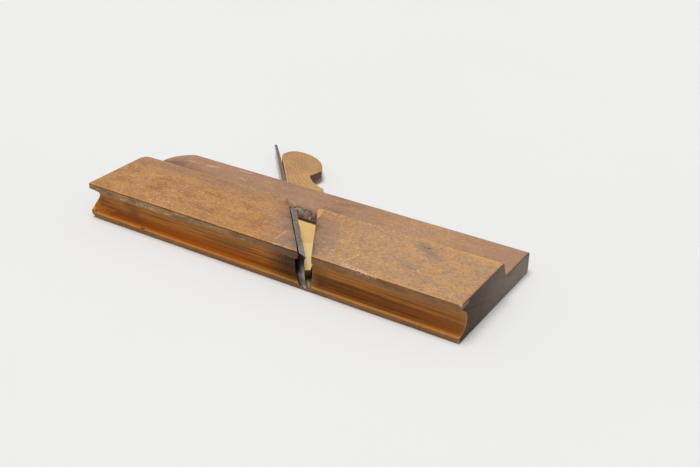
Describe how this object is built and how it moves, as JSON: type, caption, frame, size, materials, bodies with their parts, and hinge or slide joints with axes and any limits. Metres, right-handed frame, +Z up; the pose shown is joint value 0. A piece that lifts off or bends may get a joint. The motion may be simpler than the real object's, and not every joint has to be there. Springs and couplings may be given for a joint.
{
  "type": "wooden moulding plane",
  "caption": "Wooden moulding plane lying on its side: a stepped stock with a hollow sole, a profiled iron in a side escapement and a tapered wedge with a notched head.",
  "frame": {"origin": "middle of the stock's blind face, the flat side that the plane lies on", "axes": "+X from heel to toe, +Y from sole to top, +Z up from the blind side to the escapement side"},
  "size_m": [0.2414, 0.1374, 0.022],
  "materials": {
    "stock_wood": "old oiled beech, mottled orange-brown with dark grime and worn arrises",
    "iron_steel": "dark forged iron with a brown patina, brighter at the cutting edge",
    "wedge_wood": "pale tan beech with fine lengthwise grain, worn satin"
  },
  "bodies": {
    "stock": {"stock": "stock_wood"},
    "iron": {"iron": "iron_steel"},
    "wedge": {"wedge": "wedge_wood"}
  },
  "joints": [
    {"name": "wedge_slide", "type": "slide", "parent": "stock", "child": "wedge", "axis": [-0.6428, 0.766, 0], "range_m": [0, 0.11]},
    {"name": "iron_slide", "type": "slide", "parent": "stock", "child": "iron", "axis": [0.6428, -0.766, 0], "range_m": [-0.008, 0.185]}
  ]
}
